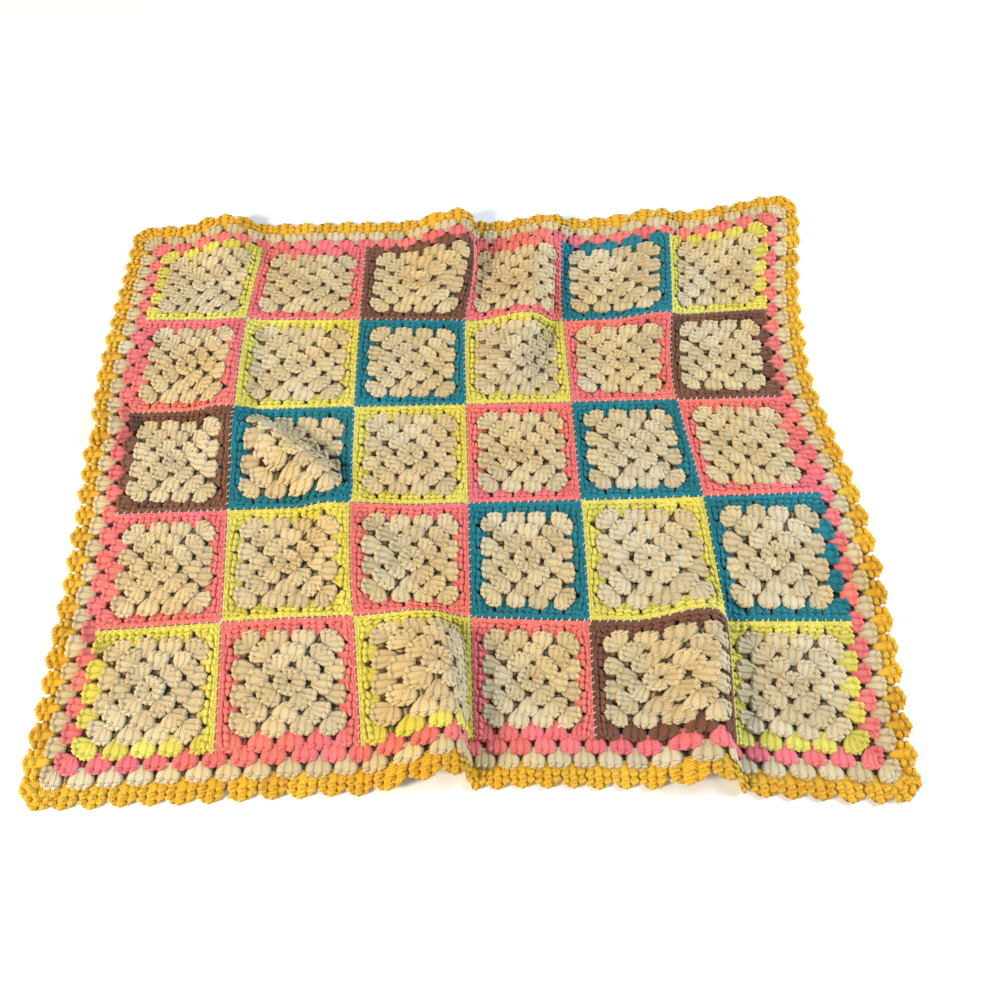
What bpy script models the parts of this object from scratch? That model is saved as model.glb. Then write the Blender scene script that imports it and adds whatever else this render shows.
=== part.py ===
"""Crochet baby blanket of thirty granny squares with a three-round edging.

The blanket lies loosely on a level surface.  Its underside is level wherever
the cloth lies flat, and soft folds lift it in a few places.  Lengths are in
metres, +Z is up, and the edge nearest the viewer faces -Y.
"""

from collections import namedtuple
from math import cos, pi, radians, sin

import bmesh
import bpy
import numpy as np

# The cloth as it would lie pulled flat
SQUARE = 0.140
COLUMNS = 6
ROWS = 5
THICKNESS = 0.0042
ROUND_DEPTH = 0.014
CLUSTER_PITCH = 0.028
PIECE_GAP = 0.0006
MITRE_GAP = 0.0008

# Edging: coral round, cream round, then gold shells with pointed tips
CORAL_OUT = ROUND_DEPTH
CREAM_OUT = 2.0 * ROUND_DEPTH
SHELL_VALLEY = 0.042
SHELL_SHOULDER = 0.048
SHELL_TIP = 0.051
SHELL_CORNER = 0.044
CORNER_RUN = 0.028
SHELL_TIP_SHARE = 0.25
SHELL_SHOULDER_SHARE = 0.75

HALF_WIDE = SQUARE * COLUMNS / 2.0
HALF_DEEP = SQUARE * ROWS / 2.0

# Gaps that go right through: the corner spaces of the fourth round of each
# square, and the spaces under the gold shells
CORNER_SPACE = 0.0475
SPACE_HALF = 0.0030
EDGE_SPACE_AT = (-0.042, -0.014, 0.014, 0.042)
EDGE_SPACE_OUT = 0.0205

# Mesh lines across one square, finer beside its seams
CELL_LINES = (-0.070, -0.056, -0.028, 0.0, 0.028, 0.056, 0.070)
EDGE_LINES = (CORAL_OUT, CREAM_OUT, SHELL_TIP)
SHELL_STEPS = 4

# Brings the middle of the draped outline to the origin
REST_SHIFT = (-0.0016, 0.0092, 0.0)

# Folds: the crest's middle (across, away), its heading in degrees from +X,
# how far it runs back and on, its width left and right of the crest, its
# height, how far the crest leans right and how far it draws the cloth on
Fold = namedtuple(
    "Fold", "where across away heading back on left right height lean draw"
)
FOLDS = (
    Fold("far middle", -0.025, 0.398, 90, 0.21, 0.21, 0.070, 0.050, 0.026, 0.022, 0.0),
    Fold("far left", -0.335, 0.398, 100, 0.16, 0.16, 0.070, 0.060, 0.021, 0.008, 0.0),
    Fold("middle slant", 0.090, 0.245, 76, 0.20, 0.24, 0.070, 0.050, 0.024, 0.010, 0.0),
    Fold("far right", 0.268, 0.330, 90, 0.24, 0.24, 0.060, 0.038, 0.012, 0.006, 0.0),
    Fold("left diagonal", -0.215, -0.004, 138, 0.10, 0.10, 0.045, 0.032, 0.020, 0.014, 0.0),
    Fold("low middle", -0.150, -0.130, 95, 0.11, 0.11, 0.050, 0.090, 0.013, 0.0, 0.0),
    Fold("near middle", -0.062, -0.330, 92, 0.22, 0.15, 0.080, 0.066, 0.027, 0.030, 0.014),
    Fold("near right", 0.250, -0.330, 90, 0.22, 0.22, 0.060, 0.042, 0.026, 0.018, 0.010),
    Fold("left seam", -0.292, 0.090, 90, 0.17, 0.15, 0.050, 0.045, 0.013, 0.003, 0.0),
    Fold("left notch", -0.468, 0.052, 0, 0.08, 0.07, 0.035, 0.028, 0.016, 0.010, 0.014),
    Fold("left low", -0.468, -0.222, 0, 0.08, 0.07, 0.030, 0.030, 0.012, 0.006, 0.006),
    Fold("far corner", 0.468, 0.398, 45, 0.16, 0.16, 0.100, 0.100, 0.018, 0.0, 0.0),
)
FOLD_LEVEL_SHARE = 0.35
SLOPE_STEP = 0.0005

# Sideways shift of each upright seam line, in millimetres, at four places
# from the far edge of the squares to their near edge
UprightSeam = namedtuple("UprightSeam", "far upper lower near")
UPRIGHT_SEAMS = (
    UprightSeam(-9, -18, -8, -10),
    UprightSeam(-8, -21, -10, 4),
    UprightSeam(3, -3, 0, 20),
    UprightSeam(3, 2, 2, 0),
    UprightSeam(-4, -1, 0, -7),
    UprightSeam(14, -4, 13, -4),
    UprightSeam(23, -6, 21, 6),
)
UPRIGHT_AT = (0.350, 0.117, -0.117, -0.350)

# Shift away from the viewer of each level seam line, in millimetres, at four
# places from left to right, the far line first
LevelSeam = namedtuple("LevelSeam", "left inner_left inner_right right")
LEVEL_SEAMS = (
    LevelSeam(-4, -6, -12, 6),
    LevelSeam(16, 6, -7, 2),
    LevelSeam(8, 7, 3, 1),
    LevelSeam(7, 6, 3, 2),
    LevelSeam(2, 8, -8, -20),
    LevelSeam(1, 4, 1, -26),
)
LEVEL_AT = (-0.420, -0.140, 0.140, 0.420)
MILLIMETRE = 0.001
SHARP_ANGLE = 50.0

# Yarn colours of the outer round of each square, far row first
LAYOUT = (
    ("yellow", "coral", "brown", "coral", "turquoise", "yellow"),
    ("coral", "yellow", "turquoise", "yellow", "coral", "brown"),
    ("brown", "turquoise", "yellow", "coral", "turquoise", "coral"),
    ("coral", "yellow", "coral", "turquoise", "yellow", "turquoise"),
    ("yellow", "coral", "yellow", "coral", "brown", "yellow"),
)
Yarn = namedtuple("Yarn", "red green blue roughness")
YARNS = {
    "cream": Yarn(0.79, 0.62, 0.37, 0.90),
    "coral": Yarn(0.88, 0.17, 0.17, 0.88),
    "yellow": Yarn(0.88, 0.76, 0.07, 0.88),
    "turquoise": Yarn(0.01, 0.30, 0.40, 0.88),
    "brown": Yarn(0.17, 0.06, 0.035, 0.90),
    "gold": Yarn(0.91, 0.45, 0.02, 0.88),
}


def clear_scene():
    """Remove whatever the opened file holds."""
    for item in list(bpy.data.objects):
        bpy.data.objects.remove(item, do_unlink=True)


def make_yarn(name):
    """Make the plain material of one yarn."""
    yarn = YARNS[name]
    material = bpy.data.materials.new(name + "_yarn")
    material.use_nodes = True
    shader = material.node_tree.nodes["Principled BSDF"]
    shader.inputs["Base Color"].default_value = (yarn.red, yarn.green, yarn.blue, 1.0)
    shader.inputs["Roughness"].default_value = yarn.roughness
    shader.inputs["Metallic"].default_value = 0.0
    return material


def through_points(values, position):
    """Read a smooth curve through evenly spaced values.

    values is an array whose last axis runs over the points; position counts
    steps from its first value.
    """
    last = values.shape[-1] - 1
    step = np.clip(np.floor(position).astype(int), 0, last - 1)
    part = np.clip(position - step, 0.0, 1.0)
    here = np.arange(len(position))

    def value(index):
        return values[here, np.clip(index, 0, last)]

    start = value(step)
    end = value(step + 1)
    before = np.where(step > 0, value(step - 1), 2.0 * start - end)
    after = np.where(step < last - 1, value(step + 2), 2.0 * end - start)
    bend = -before + 3.0 * start - 3.0 * end + after
    lift = 2.0 * before - 5.0 * start + 4.0 * end - after
    slope = end - before
    return 0.5 * (2.0 * start + slope * part + lift * part**2 + bend * part**3)


def seam_shift(lines, places, across, along, first_line, line_step):
    """Shift of the seam lines at points, from the short tables above."""
    table = np.array(lines, dtype=float) * MILLIMETRE
    place_step = places[1] - places[0]
    along_steps = (along - places[0]) / place_step
    each_line = [
        through_points(np.tile(row, (len(along), 1)), along_steps) for row in table
    ]
    line_steps = (across - first_line) / line_step
    return through_points(np.stack(each_line, axis=1), line_steps)


def fold_offsets(across, away):
    """Offsets in x, y and z that all the folds give to points of the cloth."""
    shift = np.zeros((len(across), 3))
    for fold in FOLDS:
        heading = radians(fold.heading)
        ahead = np.array((cos(heading), sin(heading)))
        right = np.array((sin(heading), -cos(heading)))
        from_middle = np.stack((across - fold.across, away - fold.away), axis=1)
        run = from_middle @ ahead
        side = from_middle @ right
        width = np.where(side < 0.0, fold.left, fold.right)
        reach = np.where(run < 0.0, fold.back, fold.on)
        profile = np.cos(np.clip(np.abs(side) / width, 0.0, 1.0) * pi / 2.0) ** 2
        fade = (np.abs(run) / reach - FOLD_LEVEL_SHARE) / (1.0 - FOLD_LEVEL_SHARE)
        fade = np.clip(fade, 0.0, 1.0)
        amount = profile * (1.0 - fade * fade * (3.0 - 2.0 * fade))
        sideways = fold.lean * right + fold.draw * ahead
        shift[:, 0] += sideways[0] * amount
        shift[:, 1] += sideways[1] * amount
        shift[:, 2] += fold.height * amount
    return shift


def drape(across, away):
    """Place points of the flat cloth's underside where the cloth lies."""
    placed = fold_offsets(across, away)
    placed[:, 0] += across + seam_shift(
        UPRIGHT_SEAMS, UPRIGHT_AT, across, away, -HALF_WIDE, SQUARE
    )
    placed[:, 1] += away + seam_shift(
        LEVEL_SEAMS, LEVEL_AT, away, across, HALF_DEEP, -SQUARE
    )
    return placed + np.array(REST_SHIFT)


def drape_normals(across, away):
    """Upward unit normals of the draped cloth."""
    nudge = SLOPE_STEP
    along_x = drape(across + nudge, away) - drape(across - nudge, away)
    along_y = drape(across, away + nudge) - drape(across, away - nudge)
    normal = np.cross(along_x, along_y)
    return normal / np.linalg.norm(normal, axis=1, keepdims=True)


def square_middle(index, count):
    """Middle of one square along a line of squares."""
    return (index - (count - 1) / 2.0) * SQUARE


def field_lines(count):
    """Mesh lines across all the squares of one direction."""
    lines = []
    for index in range(count):
        middle = square_middle(index, count)
        lines.extend(middle + line for line in CELL_LINES[:-1])
    lines.append(count * SQUARE / 2.0)
    return lines


def with_edging(lines):
    """Add the edging's mesh lines at both ends."""
    end = lines[-1]
    outer = [end + out for out in EDGE_LINES]
    return np.array([-line for line in reversed(outer)] + lines + outer)


class Lattice:
    """The draped cloth read at the mesh lines, straight between them.

    Every piece is read from the same lattice, so neighbours stay parallel.
    """

    def __init__(self):
        self.wide = with_edging(field_lines(COLUMNS))
        self.deep = with_edging(field_lines(ROWS))
        across, away = np.meshgrid(self.wide, self.deep, indexing="ij")
        shape = across.shape + (3,)
        self.low = drape(across.ravel(), away.ravel()).reshape(shape)
        normals = drape_normals(across.ravel(), away.ravel()).reshape(shape)
        self.high = self.low + THICKNESS * normals

    def cell(self, lines, value):
        """Index of the cell that holds a value, and the share across it."""
        index = int(np.clip(np.searchsorted(lines, value) - 1, 0, len(lines) - 2))
        share = (value - lines[index]) / (lines[index + 1] - lines[index])
        return index, share

    def point(self, across, away, top):
        """A point of the cloth's top or underside."""
        grid = self.high if top else self.low
        i, s = self.cell(self.wide, across)
        j, t = self.cell(self.deep, away)
        near = (1.0 - s) * grid[i, j] + s * grid[i + 1, j]
        far = (1.0 - s) * grid[i, j + 1] + s * grid[i + 1, j + 1]
        return (1.0 - t) * near + t * far


class Sheet:
    """One closed sheet built cell by cell, with square gaps through it."""

    def __init__(self, lattice, to_cloth):
        self.lattice = lattice
        self.to_cloth = to_cloth
        self.mesh = bmesh.new()
        self.known = {}

    def vertex(self, key, place, top):
        """The mesh vertex at a place of the sheet, made once."""
        if (key, top) not in self.known:
            across, away = self.to_cloth(*place)
            point = self.lattice.point(across, away, top)
            self.known[(key, top)] = self.mesh.verts.new(point.tolist())
        return self.known[(key, top)]

    def skin(self, corners):
        """Add one four-sided patch to the top and one to the underside."""
        upper = [self.vertex(key, place, True) for key, place in corners]
        lower = [self.vertex(key, place, False) for key, place in corners]
        self.mesh.faces.new(upper)
        self.mesh.faces.new(list(reversed(lower)))

    def wall(self, first, second):
        """Add the wall under one edge, as two triangles.

        The dividing edge always starts at the same end of the cloth, so the
        facing walls of two neighbours stay parallel.
        """
        first_top = self.vertex(*first, True)
        first_low = self.vertex(*first, False)
        second_top = self.vertex(*second, True)
        second_low = self.vertex(*second, False)
        if sum(self.to_cloth(*first[1])) < sum(self.to_cloth(*second[1])):
            self.mesh.faces.new((first_top, first_low, second_low))
            self.mesh.faces.new((first_top, second_low, second_top))
        else:
            self.mesh.faces.new((second_top, first_top, first_low))
            self.mesh.faces.new((second_top, first_low, second_low))

    def add_cell(self, corners, gap, gap_key):
        """Add one cell, as a frame around its gap where it has one."""
        if gap is None:
            self.skin(corners)
            return
        (s_mid, t_mid, s_half, t_half) = gap
        signs = ((-1, -1), (1, -1), (1, 1), (-1, 1))
        inner = [
            ((gap_key, n), (s_mid + a * s_half, t_mid + b * t_half))
            for n, (a, b) in enumerate(signs)
        ]
        for n in range(4):
            m = (n + 1) % 4
            self.skin((corners[n], corners[m], inner[m], inner[n]))
            self.wall(inner[m], inner[n])

    def build(self, s_lines, t_lines, gaps):
        """Fill the sheet between its lines and close its rim."""
        last_i = len(s_lines) - 1
        last_j = len(t_lines) - 1

        def corner(i, j):
            return ((i, j), (s_lines[i], t_lines[j]))

        for i in range(last_i):
            for j in range(last_j):
                corners = (
                    corner(i, j),
                    corner(i + 1, j),
                    corner(i + 1, j + 1),
                    corner(i, j + 1),
                )
                gap = None
                for s_mid, t_mid, s_half, t_half in gaps:
                    in_s = s_lines[i] < s_mid < s_lines[i + 1]
                    in_t = t_lines[j] < t_mid < t_lines[j + 1]
                    if in_s and in_t:
                        gap = (s_mid, t_mid, s_half, t_half)
                self.add_cell(corners, gap, ("gap", i, j))
        for i in range(last_i):
            self.wall(corner(i, 0), corner(i + 1, 0))
            self.wall(corner(i + 1, last_j), corner(i, last_j))
        for j in range(last_j):
            self.wall(corner(0, j + 1), corner(0, j))
            self.wall(corner(last_i, j), corner(last_i, j + 1))

    def finish(self, name, material):
        """Turn the sheet into a named object."""
        data = bpy.data.meshes.new(name)
        self.mesh.to_mesh(data)
        self.mesh.free()
        data.materials.append(material)
        data.shade_smooth()
        data.set_sharp_from_angle(angle=radians(SHARP_ANGLE))
        piece = bpy.data.objects.new(name, data)
        bpy.context.collection.objects.link(piece)
        return piece


def inset_ends(lines, inset):
    """Draw the two end lines in by a gap."""
    return [lines[0] + inset] + list(lines[1:-1]) + [lines[-1] - inset]


def build_square(lattice, row, column, material):
    """One granny square, worked flat with a small gap all round."""
    middle_x = square_middle(column, COLUMNS)
    middle_y = -square_middle(row, ROWS)

    def to_cloth(s, t):
        return middle_x + s, middle_y + t

    lines = inset_ends(CELL_LINES, PIECE_GAP / 2.0)
    gaps = [
        (a * CORNER_SPACE, b * CORNER_SPACE, SPACE_HALF, SPACE_HALF)
        for a in (-1, 1)
        for b in (-1, 1)
    ]
    sheet = Sheet(lattice, to_cloth)
    sheet.build(lines, lines, gaps)
    return sheet.finish("square_row%d_col%d" % (row + 1, column + 1), material)


def side_to_cloth(side):
    """Return the map from a side's run and outward reach to the flat cloth."""
    half_run = HALF_WIDE if side in ("far", "near") else HALF_DEEP

    def to_cloth(run, out):
        corner = (abs(run) - (half_run - CORNER_RUN)) / CORNER_RUN
        spread = out * max(0.0, corner)
        run = run + spread if run > 0.0 else run - spread
        if side == "far":
            return run, HALF_DEEP + out
        if side == "near":
            return -run, -HALF_DEEP - out
        if side == "left":
            return -HALF_WIDE - out, run
        return HALF_WIDE + out, -run

    return to_cloth


def shell_edge(run):
    """Outward reach of the gold shells at a place along a side."""
    share = (run / CLUSTER_PITCH + 0.5) % 1.0
    turn = abs(share - 0.5) * 2.0
    if turn < SHELL_TIP_SHARE:
        return SHELL_TIP
    if turn < SHELL_SHOULDER_SHARE:
        return SHELL_SHOULDER
    return SHELL_VALLEY


def build_plain_strip(lattice, side, name, inner, outer, gaps, material):
    """One side of the coral or the cream round, mitred at its ends."""
    count = COLUMNS if side in ("far", "near") else ROWS
    lines = inset_ends(field_lines(count), MITRE_GAP / 2.0)
    reach = (inner + PIECE_GAP / 2.0, outer - PIECE_GAP / 2.0)
    sheet = Sheet(lattice, side_to_cloth(side))
    sheet.build(lines, reach, gaps)
    return sheet.finish(name, material)


def edge_gaps(side):
    """The gaps through one side of the cream round."""
    count = COLUMNS if side in ("far", "near") else ROWS
    return [
        (square_middle(index, count) + place, EDGE_SPACE_OUT, SPACE_HALF, SPACE_HALF)
        for index in range(count)
        for place in EDGE_SPACE_AT
    ]


def build_shells(lattice, side, name, material):
    """One side of the gold shells, with its scalloped outline."""
    count = COLUMNS if side in ("far", "near") else ROWS
    half = count * SQUARE / 2.0
    shift = 0.0 if count % 2 == 0 else CLUSTER_PITCH / 2.0
    step = CLUSTER_PITCH / SHELL_STEPS
    inner = CREAM_OUT + PIECE_GAP / 2.0
    lines = field_lines(count)
    ends = inset_ends(lines, MITRE_GAP / 2.0)
    sheet = Sheet(lattice, side_to_cloth(side))

    def rim_place(run):
        at_corner = abs(run) > half - step / 2.0
        reach = SHELL_CORNER if at_corner else shell_edge(run + shift)
        return max(ends[0], min(ends[-1], run)), reach

    for i in range(len(lines) - 1):
        steps = int(round((lines[i + 1] - lines[i]) / step))
        runs = [lines[i] + step * n for n in range(steps + 1)]
        rim = [(("rim", round(run / step)), rim_place(run)) for run in runs]
        start = (("root", i), (ends[i], inner))
        end = (("root", i + 1), (ends[i + 1], inner))
        middle = steps // 2
        sheet.skin((start, end, rim[middle]))
        for n in range(steps):
            root = start if n < middle else end
            sheet.skin((root, rim[n + 1], rim[n]))
            sheet.wall(rim[n + 1], rim[n])
        sheet.wall(start, end)
        if i == 0:
            sheet.wall(rim[0], start)
        if i == len(lines) - 2:
            sheet.wall(end, rim[-1])
    return sheet.finish(name, material)


def main():
    """Build the blanket piece by piece."""
    clear_scene()
    yarns = {name: make_yarn(name) for name in YARNS}
    lattice = Lattice()
    pieces = []
    for row in range(ROWS):
        for column in range(COLUMNS):
            yarn = yarns[LAYOUT[row][column]]
            pieces.append(build_square(lattice, row, column, yarn))
    for side in ("far", "near", "left", "right"):
        coral = build_plain_strip(
            lattice, side, "coral_round_" + side, 0.0, CORAL_OUT, [], yarns["coral"]
        )
        cream = build_plain_strip(
            lattice,
            side,
            "cream_round_" + side,
            CORAL_OUT,
            CREAM_OUT,
            edge_gaps(side),
            yarns["cream"],
        )
        shells = build_shells(lattice, side, "gold_shells_" + side, yarns["gold"])
        pieces.extend((coral, cream, shells))
    holder = bpy.data.objects.new("blanket", None)
    bpy.context.collection.objects.link(holder)
    for piece in pieces:
        piece.parent = holder


if __name__ == "__main__":
    main()
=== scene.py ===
"""Crochet baby blanket of granny squares with a three-round edging.

Every stitch is laid through one drape, which is the one that shapes the
solids, so the crochet follows the folds in which the blanket lies.  Lengths
are in metres unless a name says millimetres.
"""

import logging
from collections.abc import Callable
from dataclasses import dataclass, field, replace
from enum import Enum
from math import cos, pi, radians, sin

import bpy
import numpy as np
from mathutils import Matrix, Vector


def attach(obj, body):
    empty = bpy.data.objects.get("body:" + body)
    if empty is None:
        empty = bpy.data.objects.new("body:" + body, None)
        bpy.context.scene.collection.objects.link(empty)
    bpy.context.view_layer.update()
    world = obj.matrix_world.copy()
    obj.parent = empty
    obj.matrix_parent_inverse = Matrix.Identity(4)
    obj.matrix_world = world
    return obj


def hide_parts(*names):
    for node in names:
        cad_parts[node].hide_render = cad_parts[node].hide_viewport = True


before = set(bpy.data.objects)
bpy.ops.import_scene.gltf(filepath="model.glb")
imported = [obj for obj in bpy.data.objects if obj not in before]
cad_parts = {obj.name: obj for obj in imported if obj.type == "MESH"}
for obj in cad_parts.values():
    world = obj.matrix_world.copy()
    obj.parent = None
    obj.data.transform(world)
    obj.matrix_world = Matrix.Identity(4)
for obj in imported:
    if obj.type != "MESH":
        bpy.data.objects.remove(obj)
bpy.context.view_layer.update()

LOG = logging.getLogger("blanket")
MILLIMETRE = 0.001
BODY = "root"

SQUARE = 0.140
COLUMNS = 6
ROWS = 5
ROUND_DEPTH = 0.014
CLUSTER_PITCH = 0.028
SQUARE_PITCH = 0.0268
LAST_PITCH = 0.0273
CREAM_ROUNDS = 4
BASE_DIP = 0.0068
TOP_RISE = 0.0022
HALF_WIDE = SQUARE * COLUMNS / 2.0
HALF_DEEP = SQUARE * ROWS / 2.0

Place = tuple[float, float]
Pair = tuple[float, float]
Triple = tuple[float, float, float]
Array = np.ndarray
Material = bpy.types.Material
Inputs = dict[object, object]
ToCloth = Callable[[float, float], Place]


class Yarn(Enum):
    """The yarns, by the slot that each one has in the record."""

    CREAM = "cream_yarn"
    CORAL = "coral_yarn"
    YELLOW = "yellow_yarn"
    TURQUOISE = "turquoise_yarn"
    BROWN = "brown_yarn"
    GOLD = "gold_yarn"


class Side(Enum):
    """The sides of a square or of the blanket, as quarter turns."""

    FAR = 0
    LEFT = 1
    NEAR = 2
    RIGHT = 3

    def turn(self, along: float, out: float) -> Place:
        """Turn a place on this side to across and away.

        Args:
            along: Distance along the side from its middle.
            out: Distance outward from the middle of the square or blanket.

        Returns:
            The place as across and away.
        """
        if self is Side.FAR:
            return along, out
        if self is Side.LEFT:
            return -out, along
        if self is Side.NEAR:
            return -along, -out
        return out, -along

    @property
    def is_long(self) -> bool:
        """Whether it runs across the blanket."""
        return self in (Side.FAR, Side.NEAR)

    @property
    def half_run(self) -> float:
        """Half the length of this side of the field of squares."""
        return HALF_WIDE if self.is_long else HALF_DEEP

    @property
    def half_out(self) -> float:
        """Distance from the middle of the blanket to this side."""
        return HALF_DEEP if self.is_long else HALF_WIDE


CREAM, CORAL, YELLOW, TURQUOISE, BROWN, GOLD = Yarn
LAYOUT = (
    (YELLOW, CORAL, BROWN, CORAL, TURQUOISE, YELLOW),
    (CORAL, YELLOW, TURQUOISE, YELLOW, CORAL, BROWN),
    (BROWN, TURQUOISE, YELLOW, CORAL, TURQUOISE, CORAL),
    (CORAL, YELLOW, CORAL, TURQUOISE, YELLOW, TURQUOISE),
    (YELLOW, CORAL, YELLOW, CORAL, BROWN, YELLOW),
)


@dataclass(frozen=True)
class Fold:
    """One soft fold: where its crest lies, how far it runs and how it stands."""

    where: str
    across: float
    away: float
    heading: float
    back: float
    on: float
    left: float
    right: float
    height: float
    lean: float
    draw: float
    level_share: float = 0.35

    def offsets(self, across: Array, away: Array) -> Array:
        """Offsets that the fold gives to points of the cloth.

        Args:
            across: How far across each point lies.
            away: How far away each point lies.

        Returns:
            One row for each point.
        """
        heading = radians(self.heading)
        ahead = np.array((cos(heading), sin(heading)))
        right = np.array((sin(heading), -cos(heading)))
        from_middle = np.stack((across - self.across, away - self.away), axis=1)
        run = from_middle @ ahead
        side = from_middle @ right
        width = np.where(side < 0.0, self.left, self.right)
        reach = np.where(run < 0.0, self.back, self.on)
        profile = np.cos(np.clip(np.abs(side) / width, 0.0, 1.0) * pi / 2.0) ** 2
        fade = (np.abs(run) / reach - self.level_share) / (1.0 - self.level_share)
        fade = np.clip(fade, 0.0, 1.0)
        amount = profile * (1.0 - fade * fade * (3.0 - 2.0 * fade))
        sideways = self.lean * right + self.draw * ahead
        return amount[:, None] * np.array((*sideways, self.height))


@dataclass(frozen=True)
class Seams:
    """Parallel seam lines, a row of sideways shifts in millimetres for each."""

    first_line: float
    line_step: float
    first_place: float
    place_step: float
    shifts: tuple[tuple[float, ...], ...]

    @staticmethod
    def through_points(values: Array, position: Array) -> Array:
        """Read a smooth curve through evenly spaced values.

        Args:
            values: One row of point values for each position.
            position: Steps from the first value.

        Returns:
            The curve's value at each position.
        """
        last = values.shape[-1] - 1
        step = np.clip(np.floor(position).astype(int), 0, last - 1)
        part = np.clip(position - step, 0.0, 1.0)
        here = np.arange(len(position))
        start = values[here, step]
        end = values[here, step + 1]
        before = np.where(step > 0, values[here, np.maximum(step - 1, 0)], 2 * start - end)
        after = np.where(step < last - 1, values[here, np.minimum(step + 2, last)], 2 * end - start)
        bend = -before + 3.0 * start - 3.0 * end + after
        lift = 2.0 * before - 5.0 * start + 4.0 * end - after
        return 0.5 * (2.0 * start + (end - before) * part + lift * part**2 + bend * part**3)

    def shift(self, across: Array, along: Array) -> Array:
        """Shift of the seam lines at points of the cloth.

        Args:
            across: Distance of each point across the lines.
            along: Distance of each point along the lines.

        Returns:
            The shift of each point, in metres.
        """
        steps = (along - self.first_place) / self.place_step
        each_line = [
            self.through_points(np.tile(np.array(row) * MILLIMETRE, (len(along), 1)), steps)
            for row in self.shifts
        ]
        between = (across - self.first_line) / self.line_step
        return self.through_points(np.stack(each_line, axis=1), between)


@dataclass(frozen=True)
class Drape:
    """Places the flat cloth in the folds in which it lies."""

    folds: tuple[Fold, ...] = (
        Fold("far middle", -0.025, 0.398, 90, 0.21, 0.21, 0.070, 0.050, 0.026, 0.022, 0.0),
        Fold("far left", -0.335, 0.398, 100, 0.16, 0.16, 0.070, 0.060, 0.021, 0.008, 0.0),
        Fold("middle slant", 0.090, 0.245, 76, 0.20, 0.24, 0.070, 0.050, 0.024, 0.010, 0.0),
        Fold("far right", 0.268, 0.330, 90, 0.24, 0.24, 0.060, 0.038, 0.012, 0.006, 0.0),
        Fold("left diagonal", -0.215, -0.004, 138, 0.10, 0.10, 0.045, 0.032, 0.020, 0.014, 0.0),
        Fold("low middle", -0.150, -0.130, 95, 0.11, 0.11, 0.050, 0.090, 0.013, 0.0, 0.0),
        Fold("near middle", -0.062, -0.330, 92, 0.22, 0.15, 0.080, 0.066, 0.027, 0.030, 0.014),
        Fold("near right", 0.250, -0.330, 90, 0.22, 0.22, 0.060, 0.042, 0.026, 0.018, 0.010),
        Fold("left seam", -0.292, 0.090, 90, 0.17, 0.15, 0.050, 0.045, 0.013, 0.003, 0.0),
        Fold("left notch", -0.468, 0.052, 0, 0.08, 0.07, 0.035, 0.028, 0.016, 0.010, 0.014),
        Fold("left low", -0.468, -0.222, 0, 0.08, 0.07, 0.030, 0.030, 0.012, 0.006, 0.006),
        Fold("far corner", 0.468, 0.398, 45, 0.16, 0.16, 0.100, 0.100, 0.018, 0.0, 0.0),
    )
    upright: Seams = Seams(
        first_line=-HALF_WIDE,
        line_step=SQUARE,
        first_place=0.350,
        place_step=-0.233,
        shifts=(
            (-9, -18, -8, -10),
            (-8, -21, -10, 4),
            (3, -3, 0, 20),
            (3, 2, 2, 0),
            (-4, -1, 0, -7),
            (14, -4, 13, -4),
            (23, -6, 21, 6),
        ),
    )
    level: Seams = Seams(
        first_line=HALF_DEEP,
        line_step=-SQUARE,
        first_place=-0.420,
        place_step=0.280,
        shifts=(
            (-4, -6, -12, 6),
            (16, 6, -7, 2),
            (8, 7, 3, 1),
            (7, 6, 3, 2),
            (2, 8, -8, -20),
            (1, 4, 1, -26),
        ),
    )
    rest_shift: Triple = (-0.0016, 0.0092, 0.0)
    slope_step: float = 0.0005

    def underside(self, across: Array, away: Array) -> Array:
        """Where points of the flat cloth's underside come to lie.

        Args:
            across: How far across each point lies.
            away: How far away each point lies.

        Returns:
            One row for each point.
        """
        placed = np.zeros((len(across), 3))
        for fold in self.folds:
            placed += fold.offsets(across, away)
        placed[:, 0] += across + self.upright.shift(across, away)
        placed[:, 1] += away + self.level.shift(away, across)
        return placed + np.array(self.rest_shift)

    def lay(self, points: Array) -> Array:
        """Lay points given as across, away and height over the cloth.

        Args:
            points: Points of the flat cloth, one row each.

        Returns:
            The points where they come to lie.
        """
        across, away, over = points[:, 0], points[:, 1], points[:, 2]
        base = self.underside(across, away)
        along_x = self.underside(across + self.slope_step, away) - base
        along_y = self.underside(across, away + self.slope_step) - base
        normal = np.cross(along_x, along_y)
        normal /= np.linalg.norm(normal, axis=1, keepdims=True)
        return base + normal * over[:, None]


@dataclass(frozen=True)
class UnitShape:
    """A strand modelled once: its mesh, its places around the yarn, its shadow."""

    points: Array
    corners: Array
    sizes: Array
    around: Array
    shadow: float


@dataclass(frozen=True)
class Station:
    """One section of a strand: how far along, how wide and how tall."""

    along: float
    wide: float
    tall: float


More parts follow.
